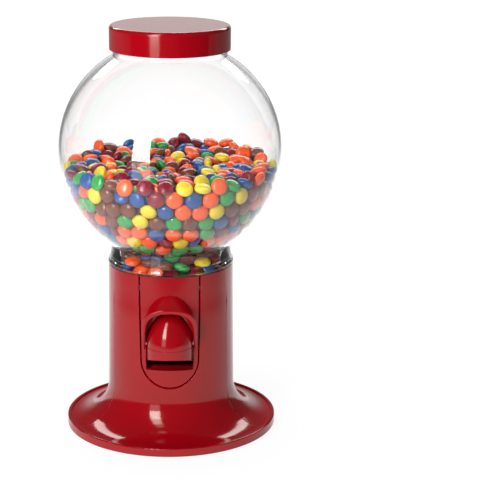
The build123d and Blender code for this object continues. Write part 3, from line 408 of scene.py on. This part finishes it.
def sim_bowl():
    """Fixed bowl in which the candies settle, at the scale of the simulation."""
    profile = container_profile()
    around = 48
    points = []
    faces = []
    for r, h in profile:
        for k in range(around):
            turn = math.tau * k / around
            x = r * math.cos(turn) * SIM_SCALE
            y = r * math.sin(turn) * SIM_SCALE
            points.append((x, y, h * SIM_SCALE))
    for i in range(len(profile) - 1):
        for k in range(around):
            n = (k + 1) % around
            a = i * around
            faces.append((a + k, a + n, a + around + n, a + around + k))
    mesh = bpy.data.meshes.new("sim_bowl")
    mesh.from_pydata(points, [], faces)
    bowl = bpy.data.objects.new("sim_bowl", mesh)
    bpy.context.scene.collection.objects.link(bowl)
    return bowl


def solid_body(obj, kind, shape):
    """Rigid-body settings of one object."""
    body = obj.rigid_body
    body.type = kind
    body.collision_shape = shape
    body.friction = 0.3
    body.restitution = 0.05
    body.linear_damping = 0.12
    body.angular_damping = 0.25
    body.use_margin = True
    body.collision_margin = SIM_MARGIN


def settled_candies():
    """Places of the candies after they have settled in the globe."""
    scene = bpy.context.scene
    bowl = sim_bowl()
    radius = CANDY_R * SIM_SCALE
    half_t = CANDY_HALF_T * SIM_SCALE
    hull_points, hull_faces = lentil(radius, half_t, around=10, up=6)
    hull = bpy.data.meshes.new("sim_candy")
    hull.from_pydata(hull_points, [], hull_faces)
    bpy.ops.rigidbody.world_add()
    world = scene.rigidbody_world
    group = bpy.data.collections.new("sim")
    world.collection = group
    group.objects.link(bowl)
    solid_body(bowl, "PASSIVE", "MESH")
    made = []
    for number, (at, turn) in enumerate(candy_starts()):
        obj = bpy.data.objects.new("sim_candy_%d" % number, hull)
        scene.collection.objects.link(obj)
        obj.location = at * SIM_SCALE
        obj.rotation_euler = turn.to_euler()
        group.objects.link(obj)
        solid_body(obj, "ACTIVE", "CONVEX_HULL")
        made.append(obj)
    scene.use_gravity = True
    scene.gravity = (0.0, 0.0, SIM_GRAVITY)
    world.substeps_per_frame = SIM_SUBSTEPS
    world.solver_iterations = 12
    world.point_cache.frame_start = 1
    world.point_cache.frame_end = SIM_FRAMES
    for step_frame in range(1, SIM_FRAMES + 1):
        scene.frame_set(step_frame)
    graph = bpy.context.evaluated_depsgraph_get()
    places = []
    for obj in made:
        pose = obj.evaluated_get(graph).matrix_world
        places.append((pose.translation / SIM_SCALE, pose.to_3x3().normalized()))
    bpy.ops.rigidbody.world_remove()
    for obj in made + [bowl]:
        bpy.data.objects.remove(obj)
    bpy.data.collections.remove(group)
    scene.frame_set(1)
    scene.gravity = (0.0, 0.0, EARTH_GRAVITY)
    return [place for place in places if inside_globe(*place)]


def inside_globe(at, turn):
    """Whether a candy lies wholly inside the globe, neck or hopper."""
    out = Vector((at.x, at.y, at.z - GLOBE_CENTRE_Z))
    axis = turn @ Vector((0, 0, 1))
    if at.z > NECK_ZONE_Z:
        away = out.normalized()
        room = globe_inner_r() - out.length
    else:
        away = Vector((at.x, at.y, 0.0)).normalized()
        room = hopper_r(at.z) - math.hypot(at.x, at.y)
    share = away.dot(axis)
    extent = math.sqrt((CANDY_HALF_T * share) ** 2 + CANDY_R ** 2 * (1 - share ** 2))
    return room > extent - SETTLED_SLACK and HOPPER_LOW_Z < at.z < SETTLED_TOP_Z


def build_candies():
    """One mesh of separate lentils for each colour, riding with the base."""
    places = settled_candies()
    rng = random.Random(COLOUR_SEED)
    names = list(CANDY_COLOURS)
    weights = [CANDY_SHARE[n] for n in names]
    groups = {n: [] for n in names}
    for place in places:
        groups[rng.choices(names, weights)[0]].append(place)
    base_points, base_faces = lentil(CANDY_R, CANDY_HALF_T, around=20, up=10)
    for name in names:
        points = []
        faces = []
        for at, turn in groups[name]:
            size = rng.uniform(CANDY_SMALLEST, 1.0)
            start = len(points)
            for p in base_points:
                q = turn @ (Vector(p) * size) + at
                points.append((q.x, q.y, q.z))
            faces.extend(tuple(start + i for i in f) for f in base_faces)
        mesh = bpy.data.meshes.new("candies_" + name)
        mesh.from_pydata(points, [], faces)
        mesh.update()
        for face in mesh.polygons:
            face.use_smooth = True
        obj = bpy.data.objects.new("candies_" + name, mesh)
        bpy.context.scene.collection.objects.link(obj)
        mesh.materials.append(candy_shell("candy_" + name, CANDY_COLOURS[name]))
        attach(obj, BASE)
        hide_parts("candy_fill")
    top = max(p[0].z for p in places)
    print("candies", len(places), "highest", round(top, 4))


build_candies()

# ---------------------------------------------------------- floor, light, camera

FLOOR_SEEN_NEAR = 0.92
FLOOR_SEEN_FAR = 1.02
FLOOR_MIRRORED = 0.85
FLOOR_BEHIND = 1.16
FLOOR_FRONT_Y = -0.51
FLOOR_FRONT_FADE = 0.08
FLOOR_SIDE_X = 0.42
FLOOR_SIDE_FADE = 0.2
FLOOR_SIDE_SHARE = 0.25
KEY_DISTANCE = 0.69
KEY_AZIMUTH = math.radians(-26.5)
KEY_WIDTH = 0.21
KEY_BANDS = [(0.02, 0.24, 2.2), (0.24, 0.60, 14.0), (0.60, 1.05, 7.5), (1.05, 1.63, 1.8)]
BACK_DISTANCE = 1.2
BACK_RISE = math.radians(43.0)
BACK_WIDTH = 1.55
BACK_HEIGHT = 0.26
BACK_RADIANCE = 6.0
HORIZON_GLOW = 0.78
ROOM_GLOW = 0.09
FLOOR_HALF = 9.0


def build_floor():
    """Plain pale floor that glows, so that only a faint shadow shows.

    In reflections its bright part ends in front and fades at the sides, as a sheet of
    paper in a dark room would.
    """
    half = FLOOR_HALF
    corners = [(-half, -half, 0), (half, -half, 0), (half, half, 0), (-half, half, 0)]
    mesh = bpy.data.meshes.new("floor")
    mesh.from_pydata(corners, [], [(0, 1, 2, 3)])
    floor = bpy.data.objects.new("floor", mesh)
    bpy.context.scene.collection.objects.link(floor)
    mat, tree, bsdf = new_material("floor_paper")
    grain = noise(tree, scale=30.0, detail=4.0)
    colour_out = tint(tree, grain.outputs["Fac"], (0.10, 0.10, 0.10, 1), (0.11, 0.11, 0.11, 1))
    tree.links.new(colour_out, bsdf.inputs["Base Color"])
    bsdf.inputs["Roughness"].default_value = 0.85
    bsdf.inputs["Specular IOR Level"].default_value = 0.0
    coord = add(tree, "ShaderNodeTexCoord")
    reach = add(tree, "ShaderNodeVectorMath", operation="LENGTH")
    tree.links.new(coord.outputs["Object"], reach.inputs[0])
    seen = spread(tree, reach.outputs["Value"], FLOOR_SEEN_NEAR, FLOOR_SEEN_FAR, start=0.10, end=0.30)
    split = add(tree, "ShaderNodeSeparateXYZ")
    tree.links.new(coord.outputs["Object"], split.inputs["Vector"])
    front_start = FLOOR_FRONT_Y + FLOOR_FRONT_FADE
    front = spread(tree, split.outputs["Y"], ROOM_GLOW, FLOOR_MIRRORED, FLOOR_FRONT_Y, front_start)
    extra = FLOOR_BEHIND - FLOOR_MIRRORED
    behind = spread(tree, split.outputs["Y"], 0.0, extra, start=0.05, end=0.25)
    length = add(tree, "ShaderNodeMath", operation="ADD")
    tree.links.new(front, length.inputs[0])
    tree.links.new(behind, length.inputs[1])
    beside = add(tree, "ShaderNodeMath", operation="ABSOLUTE")
    tree.links.new(split.outputs["X"], beside.inputs[0])
    side_end = FLOOR_SIDE_X + FLOOR_SIDE_FADE
    width = spread(tree, beside.outputs["Value"], 1.0, FLOOR_SIDE_SHARE, FLOOR_SIDE_X, side_end)
    mirrored = add(tree, "ShaderNodeMath", operation="MULTIPLY")
    tree.links.new(length.outputs["Value"], mirrored.inputs[0])
    tree.links.new(width, mirrored.inputs[1])
    path = add(tree, "ShaderNodeLightPath")
    glow = add(tree, "ShaderNodeMix", data_type="FLOAT")
    tree.links.new(path.outputs["Is Camera Ray"], glow.inputs["Factor"])
    tree.links.new(mirrored.outputs["Value"], glow.inputs["A"])
    tree.links.new(seen, glow.inputs["B"])
    bsdf.inputs["Emission Color"].default_value = (1.0, 1.0, 1.0, 1.0)
    tree.links.new(glow.outputs["Result"], bsdf.inputs["Emission Strength"])
    mesh.materials.append(mat)


def area_light(name, at, target, width, height, radiance):
    """Rectangular soft light aimed at a point, of a given brightness."""
    data = bpy.data.lights.new(name, "AREA")
    data.shape = "RECTANGLE"
    data.size = width
    data.size_y = height
    data.energy = radiance * math.pi * width * height
    lamp = bpy.data.objects.new(name, data)
    lamp.location = at
    lamp.rotation_euler = (Vector(target) - Vector(at)).to_track_quat("-Z", "Y").to_euler()
    bpy.context.scene.collection.objects.link(lamp)


def build_key_light():
    """Tall softbox at the front left, brightest low down and fading upwards."""
    x = KEY_DISTANCE * math.sin(KEY_AZIMUTH)
    y = -KEY_DISTANCE * math.cos(KEY_AZIMUTH)
    for number, (low, high, radiance) in enumerate(KEY_BANDS):
        middle = (low + high) / 2
        at = (x, y, middle)
        area_light("key_%d" % number, at, (0, 0, middle), KEY_WIDTH, high - low, radiance)


def build_back_light():
    """Wide softbox behind and above."""
    y = BACK_DISTANCE * math.cos(BACK_RISE)
    z = BACK_DISTANCE * math.sin(BACK_RISE)
    area_light("back", (0, y, z), (0, 0, 0), BACK_WIDTH, BACK_HEIGHT, BACK_RADIANCE)


def build_world():
    """Studio that is white when looked at; in reflections it glows low down behind only."""
    world = bpy.data.worlds.new("studio")
    bpy.context.scene.world = world
    world.use_nodes = True
    tree = world.node_tree
    back = tree.nodes["Background"]
    coord = add(tree, "ShaderNodeTexCoord")
    split = add(tree, "ShaderNodeSeparateXYZ")
    tree.links.new(coord.outputs["Generated"], split.inputs["Vector"])
    behind = spread(tree, split.outputs["Y"], 0.0, HORIZON_GLOW, start=0.88, end=0.97)
    low = spread(tree, split.outputs["Z"], 1.0, 0.0, start=0.16, end=0.40)
    glow = add(tree, "ShaderNodeMath", operation="MULTIPLY_ADD")
    tree.links.new(behind, glow.inputs[0])
    tree.links.new(low, glow.inputs[1])
    glow.inputs[2].default_value = ROOM_GLOW
    path = add(tree, "ShaderNodeLightPath")
    shown = add(tree, "ShaderNodeMix", data_type="FLOAT")
    tree.links.new(path.outputs["Is Camera Ray"], shown.inputs["Factor"])
    tree.links.new(glow.outputs["Value"], shown.inputs["A"])
    shown.inputs["B"].default_value = 1.0
    tree.links.new(shown.outputs["Result"], back.inputs["Strength"])
    back.inputs["Color"].default_value = (1.0, 1.0, 1.0, 1.0)


def build_camera():
    """Camera a little above the object, almost straight in front."""
    distance = 1.296
    height = 0.5112
    pitch = math.radians(15.69)
    yaw = math.radians(2.86)
    roll = math.radians(0.56)
    azimuth = math.radians(1.4)
    right = Vector((math.cos(yaw), -math.sin(yaw), 0.0))
    lean = math.sin(pitch)
    up = Vector((math.sin(yaw) * lean, math.cos(yaw) * lean, math.cos(pitch)))
    rolled_right = right * math.cos(roll) + up * math.sin(roll)
    rolled_up = up * math.cos(roll) - right * math.sin(roll)
    back = rolled_right.cross(rolled_up)
    turn = Matrix((rolled_right, rolled_up, back)).transposed().to_4x4()
    place = Matrix.Translation((0.0, -distance, height)) @ turn
    data = bpy.data.cameras.new("camera")
    data.sensor_width = 36.0
    data.lens = 118.5
    data.clip_start = 0.05
    camera = bpy.data.objects.new("camera", data)
    camera.matrix_world = Matrix.Rotation(azimuth, 4, "Z") @ place
    bpy.context.scene.collection.objects.link(camera)
    bpy.context.scene.camera = camera


build_floor()
build_world()
build_key_light()
build_back_light()
build_camera()

view = bpy.context.scene.view_settings
view.view_transform = "Standard"
view.look = "None"
view.exposure = 0.0
